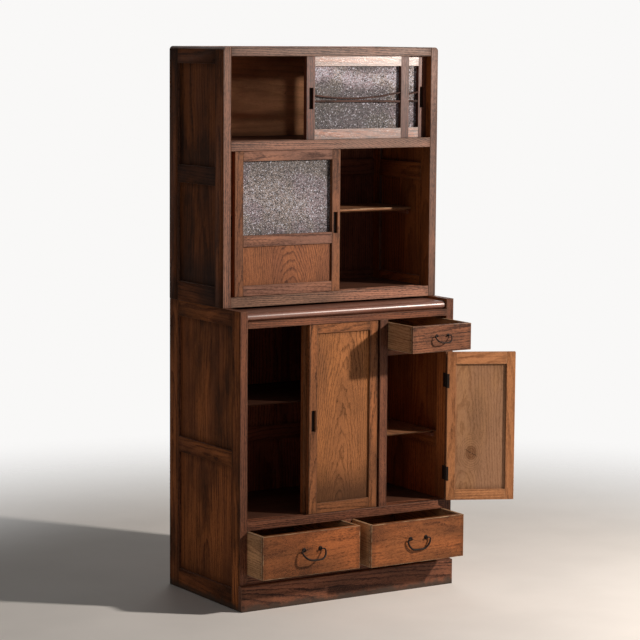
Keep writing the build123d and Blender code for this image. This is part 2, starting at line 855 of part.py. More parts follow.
# name, width, height, how far open, height of the handle, its size and how far its bail is lifted
drawers = (
    ("left_drawer", left_drawer_x, wide_drawer_z, left_drawer_open, 203.0, 1.0, 36.0),
    ("right_drawer", right_drawer_x, wide_drawer_z, right_drawer_open, 200.0, 1.0, 0.0),
    ("small_drawer", small_drawer_x, small_drawer_z, small_drawer_open, 877.0, small_handle_size, 36.0),
)
for name, drawer_x, drawer_z, drawer_open, handle_height, handle_size, bail_lift in drawers:
    handle_middle = (drawer_x[0] + drawer_x[1]) / 2
    front_face = -drawer_open
    with BuildPart() as front_board:
        drawer_front(drawer_x, drawer_z, front_face)
    write(front_board, f"{name}_front")
    with BuildPart() as open_box:
        drawer_box(drawer_x, drawer_z, front_face)
    write(open_box, f"{name}_box")
    with BuildPart() as posts:
        handle_posts(handle_middle, handle_height, front_face, handle_size)
    write(posts, f"{name}_posts")
    with BuildPart() as bail:
        handle_bail(handle_middle, handle_height, front_face, handle_size, bail_lift)
    write(bail, f"{name}_bail")
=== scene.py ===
"""Finish and fine detail of an old wooden kitchen cabinet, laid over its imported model.

Every board of the model is copied, its arrises are eased and each gets its own grain. Glass, iron
fittings, nails and screws are made here. Lengths are in metres, in the model's own frame: the front
faces -Y, the origin is on the floor in the plane of the lower front.
"""

import json
import math
import random

import bmesh
import bpy
from mathutils import Matrix, Vector, noise


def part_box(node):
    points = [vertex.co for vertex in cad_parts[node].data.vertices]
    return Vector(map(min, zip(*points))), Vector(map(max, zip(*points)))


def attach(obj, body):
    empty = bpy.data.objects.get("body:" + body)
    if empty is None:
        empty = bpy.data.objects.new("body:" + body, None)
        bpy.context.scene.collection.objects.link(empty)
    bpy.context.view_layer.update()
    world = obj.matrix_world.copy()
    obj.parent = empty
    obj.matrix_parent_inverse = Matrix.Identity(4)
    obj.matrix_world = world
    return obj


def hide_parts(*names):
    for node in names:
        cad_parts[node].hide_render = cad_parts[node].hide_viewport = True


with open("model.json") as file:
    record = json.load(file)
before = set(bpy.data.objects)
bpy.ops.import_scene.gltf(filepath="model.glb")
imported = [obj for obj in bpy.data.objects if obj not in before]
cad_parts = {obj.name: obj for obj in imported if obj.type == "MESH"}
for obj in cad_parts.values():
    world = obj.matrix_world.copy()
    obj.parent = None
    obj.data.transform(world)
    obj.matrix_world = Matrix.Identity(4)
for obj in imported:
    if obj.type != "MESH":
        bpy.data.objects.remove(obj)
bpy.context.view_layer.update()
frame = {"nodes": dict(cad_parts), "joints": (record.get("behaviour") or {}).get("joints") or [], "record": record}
joints = {joint["name"]: joint for joint in frame["joints"]}
body_of_node = {
    node: body for body, nodes in frame["record"]["behaviour"]["bodies"].items() for node in nodes
}
rng = random.Random(1818)

MM = 0.001
DRAWERS = ("left_drawer", "right_drawer", "small_drawer")
RIGHT = Vector((1, 0, 0))
BACK = Vector((0, 1, 0))
UP = Vector((0, 0, 1))


# ---------------------------------------------------------------- colours
def shade(code):
    """A linear colour from a web colour code."""
    parts = [int(code[i : i + 2], 16) / 255 for i in (0, 2, 4)]
    return [p / 12.92 if p <= 0.04045 else ((p + 0.055) / 1.055) ** 2.4 for p in parts] + [1.0]


# ---------------------------------------------------------------- objects
def new_object(name, data):
    """An object of the scene."""
    made = bpy.data.objects.new(name, data)
    bpy.context.scene.collection.objects.link(made)
    return made


def mesh_object(name, bm):
    """An object out of a bmesh, which is used up."""
    mesh = bpy.data.meshes.new(name)
    bm.to_mesh(mesh)
    bm.free()
    return new_object(name, mesh)


# ---------------------------------------------------------------- node trees
class Wiring:
    """Short calls that add nodes to a tree.

    node, fill and filled return the node. All others but feed return the socket or sockets that carry
    the result.
    """

    def __init__(self, tree):
        self.tree = tree

    def node(self, kind, **settings):
        made = self.tree.nodes.new(kind)
        for name, value in settings.items():
            setattr(made, name, value)
        return made

    def feed(self, socket, value):
        """Links a socket to another, or gives it a plain value."""
        if isinstance(value, bpy.types.NodeSocket):
            self.tree.links.new(value, socket)
        else:
            socket.default_value = value

    def fill(self, node, inputs):
        """Links or sets several inputs of a node, and returns the node."""
        for name, value in inputs.items():
            self.feed(node.inputs[name], value)
        return node

    def filled(self, kind, inputs, **settings):
        """A new node with its inputs linked or set."""
        return self.fill(self.node(kind, **settings), inputs)

    def math(self, operation, a, b=0.0, clamp=False):
        made = self.filled("ShaderNodeMath", {0: a, 1: b}, operation=operation, use_clamp=clamp)
        return made.outputs[0]

    def total(self, *values):
        """Sum of several values."""
        result = values[0]
        for value in values[1:]:
            result = self.math("ADD", result, value)
        return result

    def product(self, *values):
        """Product of several values."""
        result = values[0]
        for value in values[1:]:
            result = self.math("MULTIPLY", result, value)
        return result

    def less(self, a, b):
        return self.math("SUBTRACT", a, b)

    def swing(self, value, reach):
        """A value from 0 to 1 turned into one from minus half the reach to plus half."""
        return self.math("MULTIPLY", self.math("SUBTRACT", value, 0.5), reach)

    def vector_math(self, operation, a, b=(0, 0, 0), output=0):
        return self.filled("ShaderNodeVectorMath", {0: a, 1: b}, operation=operation).outputs[output]

    def length(self, vector):
        return self.vector_math("LENGTH", vector, output="Value")

    def mix(self, factor, a, b):
        """Blend of two colours."""
        return self.filled("ShaderNodeMix", {"Factor": factor, 6: a, 7: b}, data_type="RGBA").outputs[2]

    def darken(self, colour, factor):
        """A colour times a value."""
        made = self.filled("ShaderNodeVectorMath", {0: colour, "Scale": factor}, operation="SCALE")
        return made.outputs[0]

    def step(self, value, low, high, to_low=0.0, to_high=1.0):
        """Smooth change from to_low to to_high while value goes from low to high."""
        inputs = {"Value": value, "From Min": low, "From Max": high, "To Min": to_low, "To Max": to_high}
        return self.filled("ShaderNodeMapRange", inputs, interpolation_type="SMOOTHSTEP").outputs[0]

    def fade(self, value, low, high):
        """Smooth change from 1 to 0 while value goes from low to high."""
        return self.step(value, low, high, 1.0, 0.0)

    def noise(self, vector, stretch, detail=2.0, roughness=0.5):
        """Noise whose frequency is set along each axis by stretch."""
        place = self.vector_math("MULTIPLY", vector, stretch)
        inputs = {"Vector": place, "Scale": 1.0, "Detail": detail, "Roughness": roughness}
        return self.filled("ShaderNodeTexNoise", inputs).outputs[0]

    def grains(self, vector, scale):
        """Small cells: a random value for each cell and the distance from its middle."""
        made = self.filled("ShaderNodeTexVoronoi", {"Vector": vector, "Scale": scale})
        return self.split(made.outputs["Color"])[0], made.outputs["Distance"]

    def split(self, vector):
        return tuple(self.filled("ShaderNodeSeparateXYZ", {0: vector}).outputs)

    def attribute(self, name, output="Vector"):
        return self.node("ShaderNodeAttribute", attribute_name=name).outputs[output]


def new_group(name, inputs, outputs, tree="Shader"):
    """A node group, the wiring to fill it, and its sockets; an input may come with a start value."""
    group = bpy.data.node_groups.new(name, f"{tree}NodeTree")
    for label, kind, *start in inputs:
        socket = group.interface.new_socket(label, in_out="INPUT", socket_type=f"NodeSocket{kind}")
        if start:
            socket.default_value = start[0]
    for label, kind in outputs:
        group.interface.new_socket(label, in_out="OUTPUT", socket_type=f"NodeSocket{kind}")
    wiring = Wiring(group)
    source = wiring.node("NodeGroupInput").outputs
    sink = wiring.node("NodeGroupOutput").inputs
    return group, wiring, source, sink


def new_material(name):
    """A material with its wiring and its plain shader."""
    material = bpy.data.materials.new(name)
    material.use_nodes = True
    return material, Wiring(material.node_tree), material.node_tree.nodes["Principled BSDF"]


def add_relief(w, shader, height, strength, depth):
    """Feeds a height to the shader as a bump."""
    relief = w.filled("ShaderNodeBump", {"Strength": strength, "Distance": depth, "Height": height})
    w.feed(shader.inputs["Normal"], relief.outputs["Normal"])


# ---------------------------------------------------------------- wood
WOOD_INPUTS = [
    ("Pale wood", "Color", shade("8a6048")),
    ("Second tone", "Color", shade("7a5240")),
    ("Dark rings", "Color", shade("5a3826")),
    ("Stain", "Color", shade("1c120d")),
    ("Worn wood", "Color", shade("a98468")),
    ("Ring width", "Float", 6 * MM),
    ("Line start", "Float", 0.3),
    ("Ring strength", "Float", 0.6),
    ("Figure", "Float", 8 * MM),
    ("Ripple", "Float", 0.6 * MM),
    ("Heart", "Float", 80 * MM),
    ("Spread", "Float", 160 * MM),
    ("Slant", "Float", 0.03),
    ("Run out", "Float", 0.0),
    ("Streaks", "Float", 0.5),
    ("Flecks", "Float", 0.4),
    ("Specks", "Float", 0.35),
    ("Blotches", "Float", 0.5),
    ("Wear", "Float", 0.5),
    # Grime and Grime reach darken each board towards its arrises and ends: dirt, and painted shade where boards
    # meet
    ("Grime", "Float", 0.4),
    ("Grime reach", "Float", 12 * MM),
    ("Low grime", "Float", 0.0),
    ("Foot grime", "Float", 0.0),
    ("Knot", "Vector", (9, 9, 9)),
    ("Knot size", "Float", 30 * MM),
    ("Gloss", "Float", 0.5),
]

# how often a pattern changes across, through and along a board, per metre
TONE_CHANGE = (7, 7, 2.2)
RING_BEND = (5, 5, 1.3)
RING_WAVE = (26, 26, 7)
RING_RIPPLE = (90, 90, 55)
KNOT_WAVE = (50, 50, 50)
CRACK_WAVE = (90, 90, 90)
LONG_STREAK = (75, 75, 1.7)
SHORT_STREAK = (210, 210, 6)
FLECK = (260, 260, 90)
SPECK = (230, 230, 150)
FIBRE = (620, 620, 14)
PORE = (1100, 1100, 40)
BLOTCH = (8, 8, 3)
PATCH = (70, 70, 28)
WORN_PLACE = (14, 14, 5)
SPLASH = (30, 30, 30)

BOARD_SHUFFLE = 977.0  # takes the boards' random numbers far apart
PATTERN_REACH = (9, 9, 9)  # metres of pattern from which a board takes its own
KNOT_SHAPE = (1, 0, 0.75)  # a knot is longer along the board
FLOOR_DUST = shade("443b34")


def ring_radius(w, source, spot, place, lots):
    """Distance from the heart of the tree, bent as its growth rings are."""
    lot_a, lot_b, lot_c = lots
    across, through, along = w.split(spot)
    lean = w.product(source["Slant"], along)
    side = w.less(across, w.product(w.less(lot_a, 0.5), source["Spread"]))
    side = w.total(side, w.product(lean, w.less(lot_b, 0.5)))
    depth = w.total(through, lean, w.product(source["Heart"], w.total(lot_c, 0.6)))
    radius = w.math("SQRT", w.total(w.product(side, side), w.product(depth, depth)))
    return w.total(
        radius,
        w.swing(w.noise(place, RING_BEND), w.product(source["Figure"], 3.0)),
        w.swing(w.noise(place, RING_WAVE), source["Figure"]),
        w.swing(w.noise(place, RING_RIPPLE), source["Ripple"]),
        w.product(source["Run out"], w.math("MAXIMUM", along, 0.0)),
    )


def part_round_knot(w, source, spot, place, radius):
    """Rings that part round the knot and close to it are its own, and masks of its eye and its crack."""
    size = source["Knot size"]
    from_knot = w.vector_math("SUBTRACT", spot, source["Knot"])
    across, _, along = w.split(from_knot)
    distance = w.length(w.vector_math("MULTIPLY", from_knot, KNOT_SHAPE))
    near = w.fade(distance, 0.0, w.product(size, 3.6))
    inside = w.fade(distance, w.product(size, 1.5), w.product(size, 2.1))
    eye = w.fade(distance, w.product(size, 0.5), w.product(size, 0.95))
    own_rings = w.total(w.product(distance, 1.3), w.swing(w.noise(place, KNOT_WAVE), 9 * MM))
    radius = w.total(radius, w.product(near, near, size))
    radius = w.total(w.product(radius, w.less(1.0, inside)), w.product(own_rings, inside))

    crack_line = w.total(along, w.product(across, -0.55), w.swing(w.noise(place, CRACK_WAVE), 9 * MM))
    crack = w.fade(w.math("ABSOLUTE", crack_line), 0.3 * MM, 1.6 * MM)
    crack = w.product(crack, w.fade(w.math("ABSOLUTE", across), w.product(size, 0.5), size))
    return radius, eye, crack


def arris_distance(w, room_a, room_b, room_c):
    """Distance from a board's nearest arris: the middle one of the three distances to its faces."""
    least = w.math("MINIMUM", w.math("MINIMUM", room_a, room_b), room_c)
    most = w.math("MAXIMUM", w.math("MAXIMUM", room_a, room_b), room_c)
    return w.less(w.less(w.total(room_a, room_b, room_c), least), most)


def make_wood_group():
    """Rings, knot, fibres, stain, wear, grime and painted shade of a board.

    A point of a board knows its spot (across, through, along from the board's middle), the board's
    half sizes and a random number of the board. Rings are circles round a heart that lies behind
    the board and leans along it, so a wide face shows arches and an end shows arcs.
    """
    group, w, source, sink = new_group(
        "old_wood", WOOD_INPUTS, [("Color", "Color"), ("Roughness", "Float"), ("Height", "Float")]
    )
    stain = source["Stain"]
    spot = w.attribute("spot")
    half = w.attribute("half")
    number = w.product(w.attribute("board", "Fac"), BOARD_SHUFFLE)
    chance = w.filled("ShaderNodeTexWhiteNoise", {"W": number}, noise_dimensions="1D").outputs["Color"]
    lots = w.split(chance)
    place = w.vector_math("ADD", spot, w.vector_math("MULTIPLY", chance, PATTERN_REACH))

    radius = ring_radius(w, source, spot, place, lots)
    radius, knot_eye, crack = part_round_knot(w, source, spot, place, radius)
    ring = w.math("FRACT", w.math("DIVIDE", radius, source["Ring width"]))
    late = w.product(w.step(ring, source["Line start"], 0.9), w.fade(ring, 0.9, 1.0))

    # fibres, pores, streaks, flecks and blotches
    fibre = w.noise(place, FIBRE)
    long_streak = w.product(w.noise(place, LONG_STREAK, detail=3.0), 0.6)
    short_streak = w.product(w.noise(place, SHORT_STREAK, detail=2.0), 0.4)
    streak = w.step(w.total(long_streak, short_streak), 0.36, 0.64)
    fleck = w.step(w.noise(place, FLECK, detail=2.0), 0.36, 0.66)
    speck = w.step(w.noise(place, SPECK, detail=2.0), 0.6, 0.7)
    pore = w.step(w.noise(place, PORE, detail=1.0), 0.6, 0.72)
    pore = w.product(pore, w.less(1.0, w.product(late, 0.7)))
    blotch = w.noise(place, BLOTCH, detail=4.0, roughness=0.6)
    patches = w.noise(place, PATCH, detail=3.0)

    second = w.step(w.noise(place, TONE_CHANGE, detail=3.0), 0.38, 0.62)
    base = w.mix(second, source["Pale wood"], source["Second tone"])
    tone = w.total(
        w.product(late, source["Ring strength"]),
        w.swing(streak, source["Streaks"]),
        w.swing(fleck, source["Flecks"]),
        w.product(w.less(fibre, 0.45), 0.6),
        0.06,
    )
    tone = w.math("ADD", tone, w.product(knot_eye, 0.55), clamp=True)
    colour = w.mix(tone, base, source["Dark rings"])
    colour = w.darken(colour, w.step(lots[1], 0.0, 1.0, 0.92, 1.1))
    colour = w.mix(w.product(w.step(blotch, 0.42, 0.72), source["Blotches"]), colour, stain)
    colour = w.mix(w.product(speck, w.step(blotch, 0.3, 0.6), source["Specks"]), colour, stain)
    colour = w.mix(crack, colour, stain)

    # pale worn arrises
    room = w.split(w.vector_math("SUBTRACT", half, w.vector_math("ABSOLUTE", spot)))
    edge = arris_distance(w, *room)
    worn = w.fade(w.total(edge, w.product(patches, 5 * MM)), 2.0 * MM, 4.4 * MM)
    worn = w.product(worn, w.step(w.noise(place, WORN_PLACE), 0.32, 0.56), source["Wear"])
    colour = w.mix(worn, colour, source["Worn wood"])

    # dirt and painted shade along the edges, dirt at the ends and at the lower end, dust near the floor, and dark
    # pores
    reach = source["Grime reach"]
    # along the arrises: dirt, and painted shade in the corners where boards meet
    edge_dirt_and_shade = w.fade(w.total(edge, w.product(patches, 6 * MM)), 0.0, reach)
    end_dirt = w.fade(w.total(room[2], w.product(blotch, reach)), reach, w.product(reach, 2.2))
    dirt_and_shade = w.product(w.math("MAXIMUM", edge_dirt_and_shade, w.product(end_dirt, 0.6)), source["Grime"])
    colour = w.mix(dirt_and_shade, colour, stain)
    from_low_end = w.total(w.split(half)[2], w.split(spot)[2], w.product(blotch, -0.12))
    colour = w.mix(w.product(w.fade(from_low_end, -0.03, 0.09), source["Low grime"]), colour, stain)
    over_floor = w.split(w.node("ShaderNodeTexCoord").outputs["Object"])[2]
    splash = w.product(w.noise(place, SPLASH, detail=4.0), 0.05)
    dusty = w.product(w.fade(w.total(over_floor, splash), 0.03, 0.055), source["Foot grime"])
    colour = w.mix(dusty, colour, FLOOR_DUST)
    colour = w.mix(w.product(pore, 0.45), colour, stain)

    roughness = w.total(
        source["Gloss"],
        w.swing(blotch, 0.3),
        w.product(tone, 0.08),
        w.product(dusty, 0.3),
        w.product(w.less(patches, 0.5), 0.18),
    )
    height = w.total(
        w.product(late, -0.35),
        w.product(pore, -0.8),
        w.product(fibre, 0.35),
        w.product(patches, 0.5),
        w.product(crack, -1.5),
    )
    roughness = w.math("ADD", roughness, w.product(dirt_and_shade, 0.2), clamp=True)
    for label, value in (("Color", colour), ("Roughness", roughness), ("Height", height)):
        w.feed(sink[label], value)
    return group


wood_group = make_wood_group()
finishes = {}
finish_values = {}
TONES = ("Pale wood", "Second tone", "Dark rings", "Worn wood", "Stain")
USUAL_STAIN = "1c120d"


def add_finish(name, colours="", base="", bump=0.25, lustre=0.15, **changes):
    """A wood finish: the shared group with its own values, in a plain shader.

    Colours are codes in the order of TONES; without the last one the stain is the usual one. Values come
    from the base and are changed by the colours and by changes; bump and lustre don't come from it.
    """
    values = dict(finish_values.get(base, {}))
    if colours:
        values.update((tone, shade(code)) for tone, code in zip(TONES, [*colours.split(), USUAL_STAIN]))
    values.update((label.replace("_", " ").capitalize(), value) for label, value in changes.items())
    finish_values[name] = values
    material, w, shader = new_material(f"{name}_wood")
    board = w.filled("ShaderNodeGroup", values, node_tree=wood_group)
    colour, roughness, height = board.outputs
    w.fill(shader, {"Base Color": colour, "Roughness": roughness, "Specular IOR Level": lustre})
    add_relief(w, shader, height, bump, 0.4 * MM)
    finishes[name] = material


# upper cabinet: a little purple and grey; lower cabinet: darker and redder; doors: warmer
add_finish(
    "upper_frame", "976852 7b5a49 34201a bd9680", lustre=0.22, line_start=0.4, ring_strength=0.9,
    ripple=2.5 * MM, streaks=0.7, flecks=0.55, foot_grime=0.9, gloss=0.44,
)
add_finish("lower_frame", "925c42 774b37 351c13 a87e64", base="upper_frame", blotches=0.6)
add_finish("upper_rail", "aa765e 8e6a55 3d251c c49c86", base="upper_frame", lustre=0.22)
add_finish(
    "slanting_rail", base="upper_frame", lustre=0.22, run_out=0.3, ring_width=7 * MM, line_start=0.45,
    ring_strength=1.0,
)
add_finish("glazed_door", "a26a47 885840 472718 b58a6c", base="upper_frame", ring_strength=0.7)
# lying rails of the glazed doors: a greyer copy with painted sheen along the grain, and fewer blotches
add_finish("glazed_rail_painted_sheen", "9d6c54 8a6150 472a1f b8907a", base="glazed_door", blotches=0.25, specks=0.2)
add_finish("top_door", "774431 61392c 321a13 aa7b63", base="glazed_door", lustre=0.25, gloss=0.38)
# lying rails of the top doors: a much paler copy, painted sheen along the grain
add_finish(
    "top_door_rail", "ac7761 855a48 40261c d0aa92", base="glazed_door", lustre=0.65, ring_strength=0.9,
    streaks=1.0, flecks=0.8, gloss=0.26,
)
add_finish(
    "bar", "56352a 482b22 2c1913 6c4a3a", base="glazed_door", lustre=0.1, wear=0.0, grime=0.25,
    gloss=0.5,
)
add_finish("bay_door", "a56840 8a5838 47270f bd8f6b", base="glazed_door", grime=0.5)
add_finish(
    "hinged_frame", "bd8054 a7704c 744a2e cc9f78", ring_strength=0.55, streaks=0.4, blotches=0.25,
    grime=0.2, gloss=0.45,
)
# lying rails of the hinged door: a paler copy, painted sheen along the grain
add_finish("hinged_rail_painted_sheen", "cd8e60 b67c55 805334 d4a880", base="hinged_frame")
add_finish(
    "bay_panel", "c07c48 a56b42 5a3414 bb8a5e 241408", bump=0.35, line_start=0.45, ring_strength=0.75,
    figure=15 * MM, ripple=5 * MM, slant=0.1, heart=60 * MM, spread=90 * MM, streaks=0.25, blotches=0.4,
    grime=0.45, grime_reach=13 * MM, low_grime=0.75, gloss=0.45,
)
add_finish(
    "main_panel", "9f6440 88543a 482616 a87a56 241408", base="bay_panel", bump=0.35, ripple=3 * MM,
    slant=0.22, low_grime=0.0, grime=0.3,
)
add_finish(
    "hinged_panel", "b08258 a1795c 6b4429 bd956e 2c1c12", bump=0.3, ring_width=8 * MM, line_start=0.4,
    ring_strength=0.4, figure=14 * MM, ripple=7 * MM, slant=0.08, streaks=0.15, flecks=0.2,
    blotches=0.35, grime=0.35, grime_reach=15 * MM, knot=(31 * MM, 0, -90 * MM), knot_size=26 * MM,
    gloss=0.55,
)
add_finish(
    "upper_side", "844b28 643820 321a0d 764b2d 120c0a", lustre=0.04, ring_width=9 * MM, figure=14 * MM,
    blotches=0.95, streaks=0.7, flecks=0.3, grime=0.5, grime_reach=18 * MM, low_grime=0.6,
    foot_grime=0.9, gloss=0.6,
)
add_finish(
    "lower_side", "aa6539 844d2e 472515 926443 19110d", base="upper_side", lustre=0.04, low_grime=0.2,
)
# paler than the sides' outside: partly the wood's own tone, partly painted light bounced around inside
add_finish(
    "inner_side", "bb713e 9f5e34 6c3b1d ac7850 2a180e", ring_width=9 * MM, figure=14 * MM, gloss=0.6,
)
add_finish(
    "drawer_front", "b0673a 8c5733 532c16 e2c096 24140d", ring_width=8 * MM, ring_strength=0.38,
    figure=14 * MM, ripple=4 * MM, slant=0.05, streaks=0.4, flecks=0.6, specks=0.7, blotches=0.75,
    wear=1.6, grime=0.5, gloss=0.45,
)
add_finish(
    "small_front", "b07252 8f5c42 3c2114 c79c7c", base="drawer_front", ring_width=5 * MM,
    ring_strength=0.8, figure=4 * MM, ripple=1.5 * MM, slant=0.02, streaks=0.9,
)
add_finish(
    "drawer_box", "cc9a6e b08763 7a563c e6cfae 382820", bump=0.35, ring_width=4 * MM, figure=4 * MM,
    wear=1.5, grime=0.45, gloss=0.68,
)
# paler: partly the wood's own tone, partly painted light bounced around inside the cabinet
add_finish(
    "inner", "b07258 965f48 643a2a a87a60 2e1c16", lustre=0.1, ring_width=8 * MM, figure=12 * MM,
    gloss=0.65,
)
add_finish(
    "floor_board", "5e3a29 4e3022 372016 a88264", ring_width=7 * MM, blotches=0.4, wear=1.0, gloss=0.65,
)
# a darker copy of the floor boards' finish: painted shade for the left bay's shelf, which lies in shadow
add_finish("shelf_painted_shade", "4c3023 3f271c 2b1912 5e4130", base="floor_board", lustre=0.05)
add_finish("shelf", "b07a54 96684a 69452e f0cca4", base="floor_board", wear=2.5)
# pale: partly the board's own light wood, partly painted light for what comes through the obscure glass
add_finish(
    "back_board", "cb8d60 b47c55 8c6342 b48a60", ring_width=13 * MM, ring_strength=0.5, figure=12 * MM,
    streaks=0.3, flecks=0.2, grime=0.5, grime_reach=30 * MM, knot=(-1 * MM, 0, 16 * MM),
    knot_size=4 * MM, gloss=0.6,
)
add_finish(
    "counter", "8e5c49 784d3e 4b2f25 a07c6c", bump=0.12, lustre=0.75, ring_width=8 * MM, wear=0.4,
    gloss=0.33,
)
# near black for the sunk faces of the finger pulls: grime, and painted shade in the hollows
add_finish("recess", "2b1a12 24160f 180e09 4b3527", blotches=0.8, grime=0.8, gloss=0.7)


# ---------------------------------------------------------------- boards out of the model's solids
FLAT = math.radians(0.5)  # faces that meet at less lie in one plane
CURVED = math.radians(25)  # faces that meet at less belong to one curve
SHARP = math.radians(40)  # faces that meet at more make an arris
SHEET = 7.6 * MM  # thinner boards are panels
BAR = 12 * MM  # thinner lying boards are bars
PULL_DEPTH = 4 * MM  # faces deeper inside their board belong to a finger pull


def islands(bm):
    """The separate bodies of a mesh, each as a list of vertices."""
    seen, found = set(), []
    for start in bm.verts:
        if start in seen:
            continue
        seen.add(start)
        group, waiting = [], [start]
        while waiting:
            vertex = waiting.pop()
            group.append(vertex)
            for edge in vertex.link_edges:
                other = edge.other_vert(vertex)
                if other not in seen:
                    seen.add(other)
                    waiting.append(other)
        found.append(group)
    return found


def merged_copy(node):
    """The node's mesh with its loose triangles joined into plain faces."""
    bm = bmesh.new()
    bm.from_mesh(frame["nodes"][node].data)
    bmesh.ops.remove_doubles(bm, verts=bm.verts, dist=0.005 * MM)
    bmesh.ops.dissolve_limit(bm, angle_limit=FLAT, verts=bm.verts, edges=bm.edges)
    return bm


def ease_arrises(bm, width):
    """Rounds the outer arrises of the boards, leaving curved outlines and small recesses as they are."""
    for face in bm.faces:
        face.smooth = any(FLAT < e.calc_face_angle(0.0) < CURVED for e in face.edges)
    short = 4 * width
    crowded = {v for e in bm.edges if e.calc_length() < short for v in e.verts}
    chosen = [
        e
        for e in bm.edges
        if e.is_manifold
        and e.calc_face_angle_signed(0.0) > SHARP
        and e.verts[0] not in crowded
        and e.verts[1] not in crowded
    ]
    made = bmesh.ops.bevel(
        bm,
        geom=chosen,
        offset=width,
        offset_type="OFFSET",
        segments=2,
        profile=0.5,
        affect="EDGES",
        clamp_overlap=True,
    )
    for face in made["faces"]:
        face.smooth = True


def grain_axes(size, upright_sheets):
    """Axes of a board as (across, through, along), from its size on each axis."""
    through, across, along = sorted(range(3), key=lambda axis: size[axis])
    if size[through] < SHEET and upright_sheets and through != 2 and along != 2:
        across, along = along, across
    return across, through, along


def note_boards(bm, turned, upright_sheets):
    """Writes spot, half size and random number of each board onto its vertices.

    turned takes a point to where it lies in the closed, square place of its body. Returns the vertices
    of the boards that lie along X.
    """
    spot = bm.verts.layers.float_vector.new("spot")
    half = bm.verts.layers.float_vector.new("half")
    board = bm.verts.layers.float.new("board")
    lying = set()
    for group in islands(bm):
        places = [turned @ v.co for v in group]
        low = Vector([min(p[axis] for p in places) for axis in range(3)])
        high = Vector([max(p[axis] for p in places) for axis in range(3)])
        middle, size = (low + high) / 2, high - low
        axes = grain_axes(size, upright_sheets)
        number = rng.random()
        for vertex, place in zip(group, places):
            from_middle = place - middle
            vertex[spot] = [from_middle[axis] for axis in axes]
            vertex[half] = [size[axis] / 2 for axis in axes]
            vertex[board] = number
        if axes[2] == 0:
            lying.update(group)
    return lying


def finish_piece(bm, name, materials, body, nodes=()):
    """Turns a finished bmesh into a piece of the object that rides on its body."""
    piece = mesh_object(name, bm)
    for material in materials:
        piece.data.materials.append(material)
    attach(piece, body)
    if nodes:
        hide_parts(*nodes)


# the hinged door stands open in the model; closed, it lies square with the cabinet
door_joint = joints["hinged_door_swing"]
pivot = Vector(door_joint["pos_m"])
door_open = -math.radians(door_joint["range_deg"][0])
to_closed = Matrix.Translation(pivot) @ Matrix.Rotation(-door_open, 4, "Z") @ Matrix.Translation(-pivot)
to_open = to_closed.inverted()


def boards(
    node,
    finish,
    width=0.9 * MM,
    upright_sheets=True,
    turned=Matrix.Identity(4),
    sheet_finish=None,
    rail_sheen_finish=None,
    flank=False,
    undercut=0.0,
):
    """Visible boards in place of a node of the model.

    In a door, thin sheets may have a finish of their own, lying rails one with painted sheen, and the
    sunk faces of a finger pull a near-black one of grime and painted shade. The flanks of a side frame
    have one finish outside and another inside. An undercut thins a shelf's front edge from below.
    """
    bm = merged_copy(node)
    if undercut:
        front, bottom = min(v.co.y for v in bm.verts), min(v.co.z for v in bm.verts)
        low = {v for v in bm.verts if v.co.y < front + MM and v.co.z < bottom + MM}
        under = [e for e in bm.edges if low.issuperset(e.verts)]
        bmesh.ops.bevel(bm, geom=under, offset=undercut, segments=1, affect="EDGES")
        for v in bm.verts:
            if v.co.z < bottom + 0.1 * MM and v.co.y < front + undercut + MM:
                v.co.y += 2 * undercut
    ease_arrises(bm, width)
    lying = note_boards(bm, turned, upright_sheets)
    materials = [finishes[finish]]
    if flank:
        materials += [finishes[f"{node[:5]}_side"], finishes["inner_side"]]
        bm.normal_update()
        for face in bm.faces:
            if abs(face.normal.x) > 0.9:
                outside = face.normal.x * face.calc_center_median().x > 0
                face.material_index = 1 if outside else 2
    if sheet_finish:
        materials += [finishes[sheet_finish], finishes["recess"], finishes[rail_sheen_finish or finish]]
        spot = bm.verts.layers.float_vector["spot"]
        half = bm.verts.layers.float_vector["half"]
        for face in bm.faces:
            lies = face.verts[0] in lying
            size = face.verts[0][half]
            depths = [size[axis] - abs(v[spot][axis]) for v in face.verts for axis in range(3)]
            if min(size) < (BAR if lies else SHEET) / 2:
                face.material_index = 1
            # sunk faces of a finger pull: grime and painted shade
            elif min(depths) > PULL_DEPTH:
                face.material_index = 2
            elif lies:
                face.material_index = 3
    finish_piece(bm, f"{node}_boards", materials, body_of_node[node], [node])


